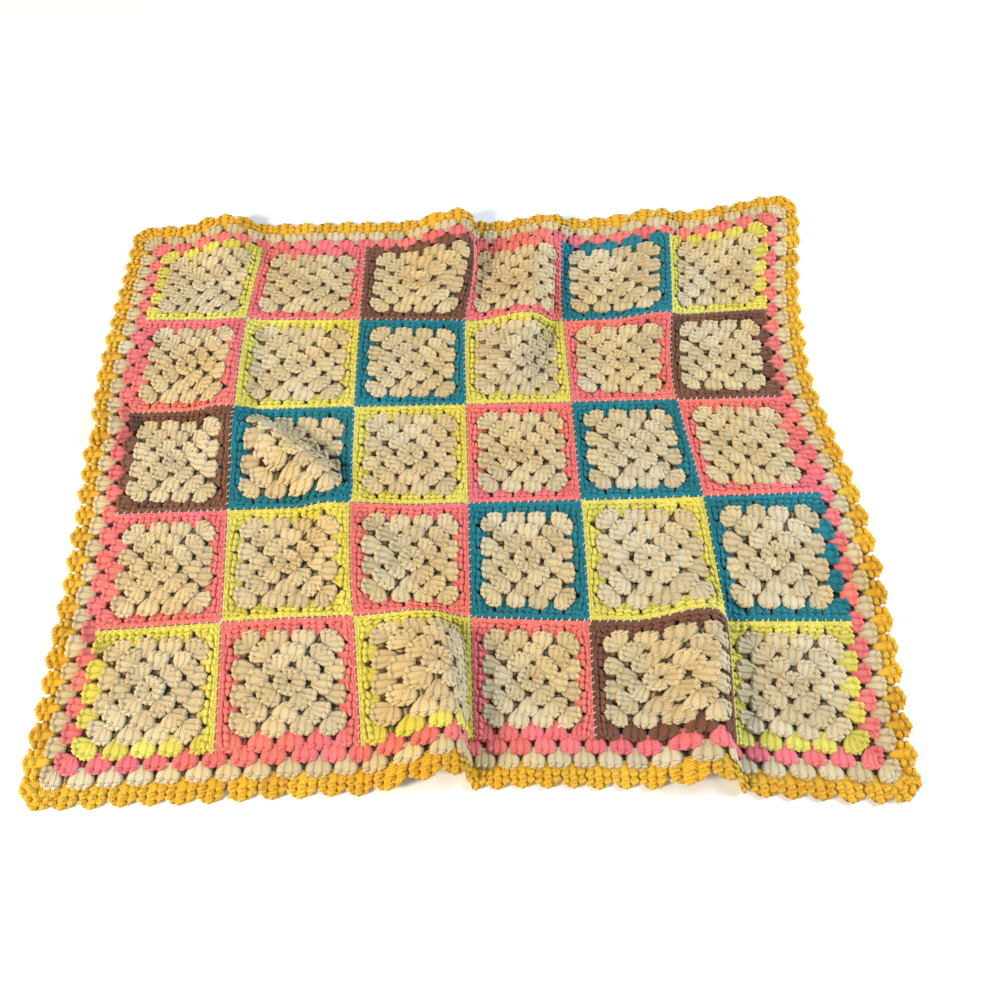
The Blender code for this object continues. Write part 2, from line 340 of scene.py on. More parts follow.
@dataclass(frozen=True)
class StrandMaker:
    """Models one strand or fan from a ring, extruded and scaled.

    The girth is the width of yarn that its section shows.  A fan's dome is
    how far its far end drops towards its sides, and the lobe how far between
    its stitches.
    """

    name: str
    section: tuple[Place, ...]
    stations: tuple[Station, ...]
    girth: float
    dome: float = 0.0
    lobes: int = 0
    lobe: float = 0.0
    shadow: float = 0.32

    def build(self) -> UnitShape:
        """Model the strand and read its mesh.

        Returns:
            The strand as arrays, across -1 to 1, along 0 to 1, tall -1 to 1.
        """
        bpy.ops.object.select_all(action="DESELECT")
        bpy.ops.mesh.primitive_circle_add(vertices=len(self.section), radius=1.0, fill_type="NGON")
        strand = bpy.context.object
        strand.name = self.name
        for point, place in zip(strand.data.vertices, self.section):
            point.co.x, point.co.y = place
        first = self.stations[0]
        bpy.ops.object.mode_set(mode="EDIT")
        bpy.ops.mesh.select_all(action="SELECT")
        bpy.ops.transform.resize(value=(first.wide, first.tall, 1.0))
        for last, station in zip(self.stations[:-1], self.stations[1:]):
            move = {"value": (0.0, 0.0, station.along - last.along)}
            bpy.ops.mesh.extrude_region_move(TRANSFORM_OT_translate=move)
            bpy.ops.transform.resize(
                value=(station.wide / last.wide, station.tall / last.tall, 1.0),
                center_override=(0.0, 0.0, station.along),
            )
        bpy.ops.mesh.select_all(action="SELECT")
        bpy.ops.mesh.normals_make_consistent(inside=False)
        bpy.ops.object.mode_set(mode="OBJECT")
        return self.read(strand)

    def read(self, strand: bpy.types.Object) -> UnitShape:
        """Read the strand's mesh into arrays and remove the strand.

        Args:
            strand: The modelled strand, standing along z.

        Returns:
            The strand as arrays, with its dome and lobes.
        """
        data = strand.data
        flat = np.zeros(len(data.vertices) * 3)
        data.vertices.foreach_get("co", flat)
        raw = flat.reshape(-1, 3)
        points = np.stack((-raw[:, 0], raw[:, 2], raw[:, 1]), axis=1)
        corners = np.zeros(len(data.loops), dtype=np.int64)
        data.loops.foreach_get("vertex_index", corners)
        sizes = np.zeros(len(data.polygons), dtype=np.int64)
        data.polygons.foreach_get("loop_total", sizes)
        wide = np.interp(
            points[:, 1], [s.along for s in self.stations], [s.wide for s in self.stations]
        )
        share = points[:, 0] / wide
        around = (share * self.girth / 2.0)[corners]
        between = 0.5 + 0.5 * np.cos(pi * self.lobes * (share + 1.0))
        drop = self.lobe * between * points[:, 1] ** 3
        points[:, 1] *= 1.0 - self.dome * points[:, 0] ** 2
        points[:, 1] -= drop
        bpy.data.objects.remove(strand, do_unlink=True)
        return UnitShape(points, corners, sizes, around, self.shadow)


@dataclass(frozen=True)
class Strand:
    """One strand on the flat cloth.

    Pairs give its value at its start and at its end: half its height and
    the height of its middle over the underside.
    """

    start: Place
    end: Place
    half: float
    tall: Pair
    over: Pair
    tone: float
    arch: float = 0.0
    # Painted shade, darkest at the strand's start.
    tuck: float = 0.0

    @classmethod
    def even(
        cls, start: Place, end: Place, size: Pair, over: float, tone: float, **more: float
    ) -> "Strand":
        """Make one from half its width and height, the same at both ends."""
        half, tall = size
        return cls(start, end, half, (tall, tall), (over, over), tone, **more)


@dataclass
class Crochet:
    """A piece of crochet: copies of one form, joined into one mesh."""

    name: str
    drape: Drape
    shape: UnitShape
    shadow_fall: float = 1.1
    tuck_end: float = 1.05
    map_spread: float = 0.05
    strands: list[Strand] = field(default_factory=list)

    def values(self, name: str) -> Array:
        """Read one field of every strand, a row each."""
        return np.array([getattr(strand, name) for strand in self.strands])

    def part_way(self, name: str) -> Array:
        """Read a start and end pair at the points along every strand."""
        pair = self.values(name)[:, None, :]
        return pair[..., 0] + (pair[..., 1] - pair[..., 0]) * self.shape.points[:, 1]

    def points(self) -> Array:
        """Lay out all the strands.

        Returns:
            The points as across, away and height, one row each.
        """
        across, along, up = self.shape.points.T
        start = self.values("start")[:, None, :]
        step = self.values("end")[:, None, :] - start
        ahead = step / np.linalg.norm(step, axis=-1, keepdims=True)
        beside = np.stack((ahead[..., 1], -ahead[..., 0]), axis=-1)
        hump = 4.0 * along * (1.0 - along)
        middle = self.part_way("over") + self.values("arch")[:, None] * hump
        flat = start + step * along[:, None]
        flat = flat + beside * (across * self.values("half")[:, None])[..., None]
        height = middle + up * self.part_way("tall")
        return np.concatenate((flat, height[..., None]), axis=-1).reshape(-1, 3)

    def shades(self) -> Array:
        """Find each point's painted shade: darker underneath and towards a strand's base.

        Returns:
            The painted shade, from 0 to 1.
        """
        _, along, up = self.shape.points.T
        # Painted shade: darker towards a strand's underside and towards its start.
        painted_base_shade = self.values("tuck")[:, None] * (self.tuck_end - along) ** 2
        shade = self.shape.shadow * (1.0 - self.shadow_fall * up) + painted_base_shade
        return np.clip(shade, 0.0, 1.0).reshape(-1)

    def yarn_map(self) -> Array:
        """Find the yarn coordinates of every corner.

        Returns:
            Metres around the yarn and metres along it, one row each.
        """
        length = np.linalg.norm(self.values("end") - self.values("start"), axis=1)
        run = self.shape.points[self.shape.corners, 1] * length[:, None]
        run = run + self.values("tone")[:, None] * self.map_spread
        turn = np.tile(self.shape.around, (len(length), 1))
        return np.stack((turn, run), axis=-1).reshape(-1, 2)

    def make(self, finish: Material) -> bpy.types.Object:
        """Join every strand into one mesh on the draped cloth.

        Args:
            finish: The piece's yarn.

        Returns:
            The new object, at the origin.
        """
        placed = self.drape.lay(self.points())
        count, per_strand = len(self.strands), len(self.shape.points)
        corner = (self.shape.corners + np.arange(count)[:, None] * per_strand).ravel()
        size = np.tile(self.shape.sizes, count)
        data = bpy.data.meshes.new(self.name)
        data.vertices.add(len(placed))
        data.vertices.foreach_set("co", placed.astype(np.float32).ravel())
        data.loops.add(len(corner))
        data.loops.foreach_set("vertex_index", corner.astype(np.int32))
        data.polygons.add(len(size))
        data.polygons.foreach_set("loop_start", (np.cumsum(size) - size).astype(np.int32))
        data.polygons.foreach_set("use_smooth", np.ones(len(size), dtype=bool))
        layer = data.uv_layers.new(name="yarn")
        layer.data.foreach_set("uv", self.yarn_map().astype(np.float32).ravel())
        tones = np.repeat(self.values("tone"), per_strand)
        # The shade attribute carries each point's painted shade; tone varies at random.
        for name, values in (("tone", tones), ("shade", self.shades())):
            attribute = data.attributes.new(name, "FLOAT", "POINT")
            attribute.data.foreach_set("value", values.astype(np.float32))
        data.update(calc_edges=True)
        data.validate()
        data.materials.append(finish)
        piece = bpy.data.objects.new(self.name, data)
        bpy.context.collection.objects.link(piece)
        return piece


@dataclass
class StitchKit:
    """The drape, the yarns and the forms of all the stitches."""

    drape: Drape
    finishes: dict[Yarn, Material]
    fan: UnitShape = field(init=False)
    shell: UnitShape = field(init=False)
    loop: UnitShape = field(init=False)

    def __post_init__(self) -> None:
        """Model a cluster's fan, a shell and one strand of a chain."""
        ridges = ((-1.0, -0.35), (-0.70, 0.88), (-0.34, 0.02), (0.0, 1.0), (0.34, 0.02))
        section = (*ridges, (0.70, 0.88), (1.0, -0.35), (0.5, -0.7), (-0.5, -0.7))
        fan_stations = (
            Station(0.00, 0.38, 0.60),
            Station(0.13, 0.58, 0.96),
            Station(0.32, 0.86, 0.90),
            Station(0.53, 1.00, 1.00),
            Station(0.73, 1.04, 0.94),
            Station(0.90, 0.90, 1.00),
            Station(1.00, 0.66, 0.62),
        )
        shell_stations = (
            Station(0.00, 0.98, 0.50),
            Station(0.14, 1.00, 1.00),
            Station(0.30, 1.00, 0.88),
            Station(0.48, 1.00, 1.04),
            Station(0.66, 1.00, 0.90),
            Station(0.86, 0.96, 1.04),
            Station(1.00, 0.72, 0.60),
        )
        self.fan = StrandMaker(
            "cluster_fan", section, fan_stations, girth=0.021, dome=0.10, lobes=3, lobe=0.08
        ).build()
        self.shell = StrandMaker(
            "shell_fan", section, shell_stations, girth=0.021, dome=0.42, lobes=3, lobe=0.05
        ).build()
        self.loop = StrandMaker(
            "chain_strand",
            ((0.0, 1.0), (-1.0, 0.0), (0.0, -1.0), (1.0, 0.0)),
            (Station(0.00, 0.66, 0.60), Station(0.50, 1.05, 1.05), Station(1.00, 0.66, 0.60)),
            girth=0.003,
            shadow=0.22,
        ).build()

    def start(self, name: str, shape: UnitShape) -> Crochet:
        """Start a piece made of one form."""
        return Crochet(name, self.drape, shape)


@dataclass(frozen=True)
class Working:
    """What one side is worked with: its pieces, its map and its chance.

    The map turns a side's along and out to across and away.
    """

    posts: Crochet
    chains: Crochet
    to_cloth: ToCloth
    chance: np.random.Generator

    def lay(self, crochet: Crochet, strand: Strand) -> None:
        """Add one strand, whose ends are given as along and out."""
        start, end = self.to_cloth(*strand.start), self.to_cloth(*strand.end)
        crochet.strands.append(replace(strand, start=start, end=end))

    def declare(self, node: str, finish: Material) -> None:
        """Args:
            node: The solid that they replace.
            finish: Their yarn's material.
        """
        posts = self.posts.make(finish)
        chains = self.chains.make(finish)
        for piece in (posts, chains):
            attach(piece, BODY)
            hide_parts(node)


@dataclass(frozen=True)
class Chain:
    """A line of chain stitches, each one a V of two strands."""

    pitch: float = 0.0066
    half: float = 0.0019
    opening: float = 0.0016
    closing: float = 0.0004
    overlap: float = 0.0010
    slope: float = 0.0002
    arch: float = 0.0003

    def work(self, side: Working, half_run: float, out: float, height: float) -> None:
        """Work a chain along a side.

        Args:
            side: What it is worked with.
            half_run: Half its length.
            out: How far out it lies.
            height: Its height over the underside.
        """
        count = int(round(2.0 * half_run / self.pitch))
        marks = np.linspace(-half_run, half_run, count + 1)
        tall, over = (self.half, self.half), (height - self.slope, height + self.slope)
        for first, last in zip(marks[:-1], marks[1:]):
            tone = float(side.chance.random())
            for way in (-1.0, 1.0):
                start = (first - self.overlap, out + way * self.opening)
                end = (last + self.overlap, out + way * self.closing)
                strand = Strand(start, end, self.half, tall, over, tone, arch=self.arch)
                side.lay(side.chains, strand)


@dataclass(frozen=True)
class Cluster:
    """Tall stitches worked into one space, with loops over their tops.

    Loops lie at shares of its half width, in rows at insets from its tip.
    A spread is how much chance changes a size.
    """

    half: float = 0.0124
    half_spread: float = 0.040
    tall_base: float = 0.0014
    tall_top: float = 0.0020
    over_base: float = 0.0024
    over_top: float = 0.0027
    lift_spread: float = 0.00025
    arch: float = 0.0004
    # Painted shade at the cluster's base.
    tuck: float = 0.34
    end_spread: float = 0.00050
    base_share: float = 0.5
    top_shares: Pair = (1.6, 1.0)
    loops: Triple = (-0.62, 0.0, 0.62)
    rows: tuple[float, ...] = (0.0036,)
    row_spread: float = 0.0005
    dome: float = 0.16
    loop_half: float = 0.0023
    loop_long: float = 0.0033
    loop_over: float = 0.0040
    loop_over_spread: float = 0.00012
    loop_slant: float = 0.0012
    loop_slant_spread: float = 0.4

    def work(self, side: Working, base: Place, top: Place) -> None:
        """Work one cluster.

        Args:
            side: What it is worked with.
            base: Middle of its base, as along and out.
            top: Middle of its top, as along and out.
        """
        normal = side.chance.normal
        jitter = normal(0.0, self.end_spread, 4)
        half = self.half * (1.0 + normal(0.0, self.half_spread))
        lift = normal(0.0, self.lift_spread)
        tone = float(side.chance.random())
        start = np.array(base) + jitter[:2] * self.base_share
        end = np.array(top) + jitter[2:] * self.top_shares
        tall = (self.tall_base, self.tall_top)
        over = (self.over_base + lift, self.over_top + lift)
        post = Strand(start, end, half, tall, over, tone, arch=self.arch, tuck=self.tuck)
        side.lay(side.posts, post)
        length = np.linalg.norm(end - start)
        ahead = (end - start) / length
        beside = np.array((ahead[1], -ahead[0])) * self.loop_long
        size = (self.loop_half, self.loop_half)
        for inset in self.rows:
            for share in self.loops:
                back = inset + length * self.dome * share**2 + normal(0.0, self.row_spread)
                middle = end - ahead * back + beside * share * half / self.loop_long
                slant = ahead * self.loop_slant * (1.0 + normal(0.0, self.loop_slant_spread))
                height = self.loop_over + lift + normal(0.0, self.loop_over_spread)
                left, right = middle - beside - slant, middle + beside + slant
                loop = Strand.even(left, right, size, height, tone, arch=self.arch)
                side.lay(side.chains, loop)


@dataclass(frozen=True)
class RoundSide:
    """One side of one round of clusters.

    At a seam its straight edge says where the chain over its tops runs.
    """

    out: float
    half: float
    count: int
    cluster: Cluster = Cluster()
    chain: Chain = Chain()
    chain_rise: float = 0.0003
    chain_inset: float = 0.0006
    straight_edge: float = 0.0
    base_dip: float = BASE_DIP
    top_rise: float = TOP_RISE
    centre_ring: float = 0.0018
    corner_pull: float = 0.0012
    corner_push: float = 0.0005
    corner_rise: float = 0.0014
    corner_share: float = 0.78
    base_pitch: float = CLUSTER_PITCH
    top_pitch: float = CLUSTER_PITCH
    gaps: tuple[int, ...] = ()
    gap_shift: float = 0.0068
    slant: float = 0.0016
    gap_out: float = 0.0052
    # A dark strand at the back of each space stands in for the shade in it: painted shade.
    back_size: Pair = (0.0058, 0.0006)
    back_long: float = 0.0068
    back_over: float = 0.0008
    back_tuck: float = 4.0
    fill_size: Pair = (0.0034, 0.0018)
    fill_long: float = 0.0070
    fill_over: float = 0.0024
    fill_in: float = 0.0020
    fill_end: float = 0.93
    open_corner: bool = False

    def work(self, side: Working) -> None:
        """Work the clusters, what lies between them and the seam's chain.

        Args:
            side: What it is worked with.
        """
        inner = self.out - ROUND_DEPTH
        for index in range(self.count):
            step = index - (self.count - 1) / 2.0
            last = index == self.count - 1
            corner = float(last) - float(index == 0)
            base = (
                step * self.base_pitch - corner * self.corner_pull - self.slant / 2.0,
                max(self.centre_ring, inner - self.base_dip + abs(corner) * self.corner_rise),
            )
            top = (
                step * self.top_pitch + corner * self.corner_push + self.slant / 2.0,
                self.out + self.top_rise,
            )
            cluster = self.cluster
            if corner and not self.straight_edge:
                cluster = replace(cluster, half=cluster.half * self.corner_share)
            cluster.work(side, base, top)
            if not last:
                # Painted shade: a dark strand at the back of the space after each cluster.
                shift = self.gap_shift if index in self.gaps else 0.0
                gap_along = (step + 0.5) * self.top_pitch + shift
                self.back(side, gap_along, inner + self.gap_out)
                if self.straight_edge:
                    self.fill(side, gap_along)
        if self.straight_edge:
            self.fill(side, -self.half * self.fill_end)
            self.fill(side, self.half * self.fill_end)
        # Painted shade: a dark strand at the back of the corner space.
        if not self.open_corner:
            self.back(side, self.half - ROUND_DEPTH, inner)
        if self.straight_edge:
            height = self.cluster.loop_over + self.chain_rise
            self.chain.work(side, self.half - self.chain_inset, self.straight_edge, height)

    def fill(self, side: Working, along: float) -> None:
        """Lay the thick chain between two clusters at a seam.

        Args:
            side: What it is worked with.
            along: Where its middle lies along the side.
        """
        out = self.straight_edge - self.fill_in
        start, end = (along - self.fill_long, out), (along + self.fill_long, out)
        tone = float(side.chance.random())
        side.lay(side.chains, Strand.even(start, end, self.fill_size, self.fill_over, tone))

    def back(self, side: Working, along: float, out: float) -> None:
        """Lay a dark strand at the back of one small space, as painted shade in it.

        Args:
            side: What it is worked with.
            along: Where its middle lies along the side.
            out: How far out it lies.
        """
        start, end = (along - self.back_long, out), (along + self.back_long, out)
        size, tuck = self.back_size, self.back_tuck
        # Full tone and full base shade make this strand nearly black: painted shade.
        side.lay(side.chains, Strand.even(start, end, size, self.back_over, 1.0, tuck=tuck))


@dataclass(frozen=True)
class GrannySquare:
    """One granny square: four cream rounds and a coloured outer round."""

    row: int
    column: int
    yarn: Yarn
    kit: StitchKit
    first_cluster: Cluster = Cluster(half=0.0098)
    seam_cluster: Cluster = Cluster(
        half=0.0128,
        dome=0.02,
        loop_half=0.0027,
        loop_long=0.0038,
        rows=(0.0038, 0.0088),
        loop_over=0.0039,
        tall_base=0.0012,
        over_base=0.0016,
    )
    seam_rise: float = -0.0010
    seam_chain_at: float = 0.0670
    swirl: tuple[float, ...] = (16.0, 9.0, 5.0, 2.5, 0.0)
    swirl_spread: float = 0.3
    row_seed: int = 100

    @property
    def node(self) -> str:
        """Name of the solid that this square replaces."""
        return f"square_row{self.row + 1}_col{self.column + 1}"

    def on_side(self, side: Side, turn: float) -> ToCloth:
        """Map a side's along and out to the flat cloth.

        Args:
            side: The side of the square.
            turn: How far the round is turned about the middle, in degrees.

        Returns:
            The map.
        """
        middle_across = (self.column - (COLUMNS - 1) / 2.0) * SQUARE
        middle_away = ((ROWS - 1) / 2.0 - self.row) * SQUARE
        turned_sin, turned_cos = sin(radians(turn)), cos(radians(turn))

        def to_cloth(along: float, out: float) -> Place:
            """Turn one place of the side to across and away."""
            across, away = side.turn(along, out)
            return (
                middle_across + across * turned_cos + away * turned_sin,
                middle_away - across * turned_sin + away * turned_cos,
            )

        return to_cloth

    def is_sewn(self, side: Side) -> bool:
        """Whether a side is sewn to another square."""
        return not {
            Side.FAR: self.row == 0,
            Side.NEAR: self.row == ROWS - 1,
            Side.LEFT: self.column == 0,
            Side.RIGHT: self.column == COLUMNS - 1,
        }[side]

    def work_round(self, square: Working, number: int) -> None:
        """Work one round of clusters.

        Args:
            square: What the square is worked with.
            number: The round, counted from the middle.
        """
        outer = number * ROUND_DEPTH
        turn = self.swirl[number - 1] * (1.0 + square.chance.normal(0.0, self.swirl_spread))
        coloured = number > CREAM_ROUNDS
        for side in Side:
            round_side = RoundSide(
                outer,
                outer,
                number,
                open_corner=coloured,
                base_pitch=SQUARE_PITCH,
                top_pitch=LAST_PITCH if coloured else SQUARE_PITCH,
            )
            if number == 1:
                round_side = replace(round_side, cluster=self.first_cluster)
            if coloured and self.is_sewn(side):
                round_side = replace(
                    round_side,
                    cluster=self.seam_cluster,
                    top_rise=self.seam_rise,
                    straight_edge=self.seam_chain_at,
                )
            round_side.work(replace(square, to_cloth=self.on_side(side, turn)))

    def dress(self) -> None:
        chance = np.random.default_rng(self.row_seed * self.row + self.column)
        inner_side = 2.0 * (CREAM_ROUNDS * ROUND_DEPTH + TOP_RISE)
        opening = 2.0 * (CREAM_ROUNDS * ROUND_DEPTH - BASE_DIP)
        parts = (
            ("middle", CREAM, range(1, CREAM_ROUNDS + 1), inner_side, inner_side**2),
            ("round", self.yarn, (CREAM_ROUNDS + 1,), SQUARE, SQUARE**2 - opening**2),
        )
        for label, yarn, rounds, flat_side, area in parts:
            name = f"{self.node}_{label}"
            fans = self.kit.start(name, self.kit.fan)
            chains = self.kit.start(name + "_chain", self.kit.loop)
            square = Working(fans, chains, self.on_side(Side.FAR, 0.0), chance)
            for number in rounds:
                self.work_round(square, number)
            finish, flat = self.kit.finishes[yarn], (flat_side, flat_side)
            square.declare(self.node, finish)


@dataclass(frozen=True)
class EdgeRound:
    """One side of a round of clusters worked round the whole blanket."""

    side: Side
    number: int
    yarn: Yarn
    label: str
    kit: StitchKit
    open_gaps: tuple[int, ...] = (2, 3, 7, 11, 17, 18, 24, 29)
    round_seed: int = 1000

    def dress(self) -> None:
        node = f"{self.label}_{self.side.name.lower()}"
        fans = self.kit.start(node + "_clusters", self.kit.fan)
        chains = self.kit.start(node + "_chain", self.kit.loop)
        chance = np.random.default_rng(self.round_seed * self.number + self.side.value)
        work = Working(fans, chains, self.side.turn, chance)
        outer = self.side.half_out + self.number * ROUND_DEPTH
        half = self.side.half_run + self.number * ROUND_DEPTH
        count = int(round(2.0 * half / CLUSTER_PITCH))
        floor_seen = self.number > 1 and self.side in (Side.NEAR, Side.RIGHT)
        gaps = self.open_gaps if floor_seen else ()
        RoundSide(outer, half, count, gaps=gaps).work(work)
        flat = (2.0 * half, ROUND_DEPTH)
        area = (2.0 * half - ROUND_DEPTH) * ROUND_DEPTH
        finish = self.kit.finishes[self.yarn]
        work.declare(node, finish)


@dataclass(frozen=True)
class ShellRound:
    """One side of the gold shells, with rows of loops over them."""

    side: Side
    kit: StitchKit
    cluster: Cluster = Cluster(
        half=0.0156,
        tall_base=0.0010,
        over_base=0.0011,
        over_top=0.0025,
        dome=0.42,
        rows=(0.0040, 0.0115),
        loop_half=0.0028,
        loop_long=0.0036,
        loop_over=0.0038,
    )
    base_out: float = 0.0212
    length: float = 0.0292
    corner_at: float = 0.0200
    corner_turn: float = 22.0
    area_share: float = 0.90
    yarn: Yarn = GOLD
    seed: int = 7000

    def dress(self) -> None:
        """Work the shells of this side, with one leaning out at each end."""
        node = f"gold_shells_{self.side.name.lower()}"
        shells = self.kit.start(node + "_shells", self.kit.shell)
        chains = self.kit.start(node + "_loops", self.kit.loop)
        chance = np.random.default_rng(self.seed + self.side.value)
        work = Working(shells, chains, self.side.turn, chance)
        half_run = self.side.half_run
        count = int(round(2.0 * half_run / CLUSTER_PITCH))
        places = [(-half_run + index * CLUSTER_PITCH, 0.0) for index in range(count + 1)]
        corner = half_run + self.corner_at
        places = [(-corner, -self.corner_turn), *places, (corner, self.corner_turn)]
        out = self.side.half_out + self.base_out
        for along, degrees in places:
            lean = self.length * sin(radians(degrees))
            tip = (along + lean, out + self.length * cos(radians(degrees)))
            self.cluster.work(work, (along, out), tip)
        long_edge = 2.0 * (half_run + self.base_out + self.length)
        area = (long_edge - self.length) * self.length * self.area_share
        finish = self.kit.finishes[self.yarn]
        work.declare(node, finish)


@dataclass(frozen=True)
class Sewing:
    """The pale overcast stitches that hold the squares together.

    A spread is how much chance changes a size.
    """

    kit: StitchKit
    pitch: float = 0.0086
    half: float = 0.0007
    reach: float = 0.0030
    over: float = 0.0048
    arch: float = 0.0012
    slant: float = 0.0018
    run_spread: float = 0.0008
    reach_spread: float = 0.15
    slant_spread: float = 0.0005
    tone_share: float = 0.4
    seed: int = 9000

    @staticmethod
    def turn_upright(along: float, across: float) -> Place:
        """Turn a place on an upright seam to across and away."""
        return across, along

    def sew(self, seam: Working, line: float, half_run: float) -> None:
        """Sew one seam line.

        Args:
            seam: What it is sewn with.
            line: Where it lies.
            half_run: Half its length.
        """
        chance, size = seam.chance, (self.half, self.half)
        for index in range(int(2.0 * half_run / self.pitch)):
            run = -half_run + (index + 0.5) * self.pitch + chance.normal(0.0, self.run_spread)
            reach = self.reach * (1.0 + chance.normal(0.0, self.reach_spread))
            slant = self.slant + chance.normal(0.0, self.slant_spread)
            start, end = (run - slant, line - reach), (run + slant, line + reach)
            tone = float(chance.random()) * self.tone_share
            stitch = Strand.even(start, end, size, self.over, tone, arch=self.arch)
            seam.lay(seam.chains, stitch)

    def dress(self, finish: Material) -> None:
        """Sew every seam between squares with the pale thread.

        Args:
            finish: The thread's material.
        """
        stitches = self.kit.start("sewing", self.kit.loop)
        chance = np.random.default_rng(self.seed)
        level = Working(stitches, stitches, Side.FAR.turn, chance)
        upright = replace(level, to_cloth=self.turn_upright)
        for index in range(1, COLUMNS):
            self.sew(upright, -HALF_WIDE + index * SQUARE, HALF_DEEP)
        for index in range(1, ROWS):
            self.sew(level, -HALF_DEEP + index * SQUARE, HALF_WIDE)
        piece = stitches.make(finish)
        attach(piece, BODY)


class Signal:
    """What a shader socket carries, with arithmetic for numbers."""

    def __init__(self, bench: "ShaderBench", socket: bpy.types.NodeSocket) -> None:
        """Wrap one output socket."""
        self.bench = bench
        self.socket = socket

    def _math(self, operation: str, first: object, second: object) -> "Signal":
        """Add one Math node."""
        settings, inputs = {"operation": operation}, {0: first, 1: second}
        return self.bench.signal("ShaderNodeMath", settings, inputs, 0)

    def __add__(self, other: object) -> "Signal":
        """Add."""
        return self._math("ADD", self, other)

    __radd__ = __add__

    def __sub__(self, other: object) -> "Signal":
        """Subtract."""
        return self._math("SUBTRACT", self, other)

    def __rsub__(self, other: object) -> "Signal":
        """Subtract from a number."""
        return self._math("SUBTRACT", other, self)

    def __mul__(self, other: object) -> "Signal":
        """Multiply."""
        return self._math("MULTIPLY", self, other)

    __rmul__ = __mul__

    def wave(self) -> "Signal":
        """Return its sine."""
        return self._math("SINE", self, 0.0)

    def swing(self) -> "Signal":
        """Return its sine, moved to run from 0 to 1."""
        return self.wave() * 0.5 + 0.5

    def cubed(self) -> "Signal":
        """Return its third power."""
        return self * self * self

    def clamp(self) -> "Signal":
        """Keep it from 0 to 1."""
        return self.bench.signal("ShaderNodeClamp", {}, {"Value": self}, 0)


class ShaderBench:
    """Builds one material's nodes."""

    def __init__(self, name: str) -> None:
        """Start an empty material."""
        self.material = bpy.data.materials.new(name)
        self.material.use_nodes = True
        self.tree = self.material.node_tree
        self.tree.nodes.clear()

    def node(self, kind: str, settings: Inputs, inputs: Inputs) -> bpy.types.ShaderNode:
        """Add one node.

        Args:
            kind: The node's type.
            settings: Properties that are set first.
            inputs: Values or signals of its sockets.

        Returns:
            The new node.
        """
        node = self.tree.nodes.new(kind)
        for key, value in settings.items():
            setattr(node, key, value)
        for key, value in inputs.items():
            if isinstance(value, Signal):
                self.tree.links.new(value.socket, node.inputs[key])
            else:
                node.inputs[key].default_value = value
        return node

    def signal(self, kind: str, settings: Inputs, inputs: Inputs, output: object) -> Signal:
        """Add one node and return what one of its outputs carries."""
        return Signal(self, self.node(kind, settings, inputs).outputs[output])

    def noise(self, place: Signal, scale: float, detail: float) -> Signal:
        """Return soft noise from 0 to 1."""
        inputs = {"Vector": place, "Scale": scale, "Detail": detail}
        return self.signal("ShaderNodeTexNoise", {}, inputs, "Fac")

    def attribute(self, name: str) -> Signal:
        """Return a value that the mesh's points carry."""
        return self.signal("ShaderNodeAttribute", {"attribute_name": name}, {}, "Fac")

    def blend(self, share: Signal, first: object, second: object) -> Signal:
        """Mix two colours."""
        inputs = {0: share, 6: first, 7: second}
        return self.signal("ShaderNodeMix", {"data_type": "RGBA"}, inputs, 2)

    def surface(self, inputs: Inputs) -> Material:
        """Finish the material with one surface and return it."""
        shader = self.signal("ShaderNodeBsdfPrincipled", {}, inputs, "BSDF")
        self.node("ShaderNodeOutputMaterial", {}, {"Surface": shader})
        return self.material


